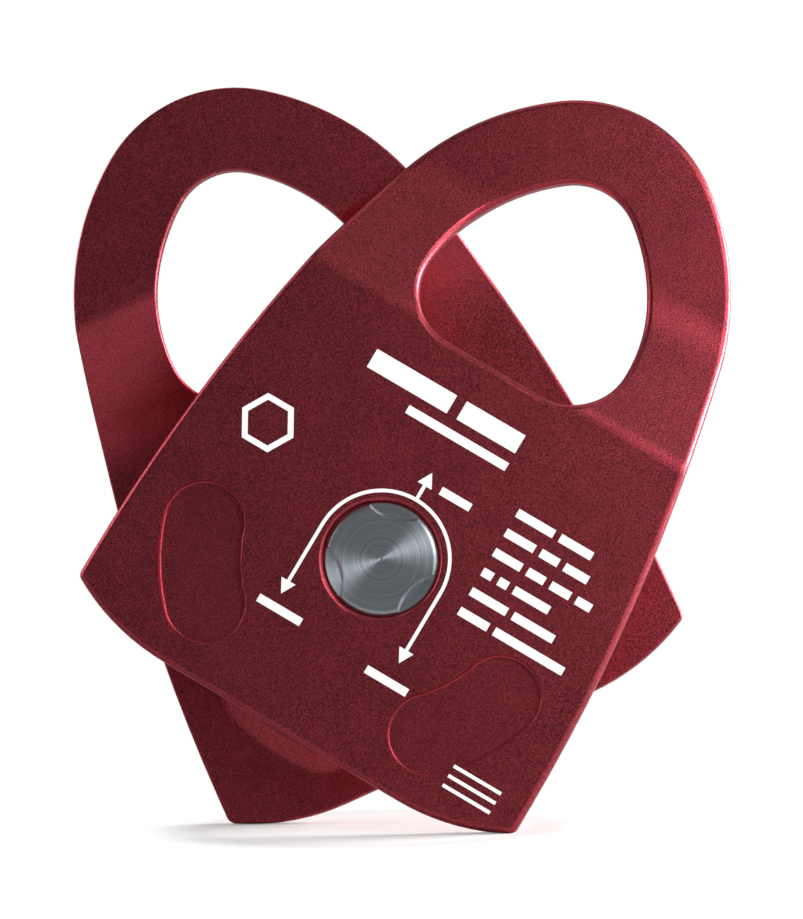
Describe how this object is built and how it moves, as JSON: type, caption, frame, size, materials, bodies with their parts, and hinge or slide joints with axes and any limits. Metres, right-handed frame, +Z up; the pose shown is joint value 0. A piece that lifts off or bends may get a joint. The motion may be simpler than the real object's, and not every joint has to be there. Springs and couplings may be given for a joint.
{
  "type": "rope pulley",
  "caption": "Rescue rope pulley with swinging joggled side plates, a ball-bearing sheave and a flanged axle, standing fanned open.",
  "frame": {"origin": "centre of the sheave, on the axle's axis", "axes": "+Y along the axle from the front plate to the back plate; +Z up; the front faces -Y; the front plate leans 27.5 degrees to +X and the back plate 27.5 degrees to -X"},
  "size_m": [0.1472, 0.0328, 0.1646],
  "materials": {
    "red_anodised_aluminium": "satin bead-blasted, red anodised",
    "stainless_steel": "turned and polished",
    "sheave_aluminium": "machined, clear anodised",
    "spacer_aluminium": "turned",
    "bearing_steel": "ground",
    "ball_steel": "polished",
    "spring_steel": "black phosphated",
    "cage_nylon": "moulded",
    "seal_rubber": "matt"
  },
  "bodies": {
    "axle": {"axle_barrel": "stainless_steel", "axle_bolt": "stainless_steel", "front_spacer": "spacer_aluminium", "back_spacer": "spacer_aluminium", "front_bearing_inner_race": "bearing_steel", "back_bearing_inner_race": "bearing_steel"},
    "front_plate": {"front_side_plate": "red_anodised_aluminium"},
    "back_plate": {"back_side_plate": "red_anodised_aluminium"},
    "sheave": {"sheave": "sheave_aluminium", "bearing_retaining_ring": "spring_steel", "front_bearing_outer_race": "bearing_steel", "front_bearing_outboard_seal": "seal_rubber", "front_bearing_inboard_seal": "seal_rubber", "back_bearing_outer_race": "bearing_steel", "back_bearing_outboard_seal": "seal_rubber", "back_bearing_inboard_seal": "seal_rubber"},
    "front_ball_set": {"front_bearing_cage": "cage_nylon", "front_bearing_ball_01": "ball_steel", "front_bearing_ball_02": "ball_steel", "front_bearing_ball_03": "ball_steel", "front_bearing_ball_04": "ball_steel", "front_bearing_ball_05": "ball_steel", "front_bearing_ball_06": "ball_steel", "front_bearing_ball_07": "ball_steel", "front_bearing_ball_08": "ball_steel", "front_bearing_ball_09": "ball_steel", "front_bearing_ball_10": "ball_steel"},
    "back_ball_set": {"back_bearing_cage": "cage_nylon", "back_bearing_ball_01": "ball_steel", "back_bearing_ball_02": "ball_steel", "back_bearing_ball_03": "ball_steel", "back_bearing_ball_04": "ball_steel", "back_bearing_ball_05": "ball_steel", "back_bearing_ball_06": "ball_steel", "back_bearing_ball_07": "ball_steel", "back_bearing_ball_08": "ball_steel", "back_bearing_ball_09": "ball_steel", "back_bearing_ball_10": "ball_steel"}
  },
  "joints": [
    {"name": "front_plate_swing", "type": "hinge", "parent": "axle", "child": "front_plate", "pos_m": [0, 0, 0], "axis": [0, 1, 0], "continuous": true},
    {"name": "back_plate_swing", "type": "hinge", "parent": "axle", "child": "back_plate", "pos_m": [0, 0, 0], "axis": [0, 1, 0], "continuous": true},
    {"name": "sheave_spin", "type": "hinge", "parent": "axle", "child": "sheave", "pos_m": [0, 0, 0], "axis": [0, 1, 0], "continuous": true},
    {"name": "front_ball_set_roll", "type": "hinge", "parent": "axle", "child": "front_ball_set", "pos_m": [0, 0, 0], "axis": [0, 1, 0], "continuous": true},
    {"name": "back_ball_set_roll", "type": "hinge", "parent": "axle", "child": "back_ball_set", "pos_m": [0, 0, 0], "axis": [0, 1, 0], "continuous": true}
  ],
  "couplings": [
    {"joint": "front_ball_set_roll", "follows": "sheave_spin", "ratio": 0.5923},
    {"joint": "back_ball_set_roll", "follows": "sheave_spin", "ratio": 0.5923}
  ]
}
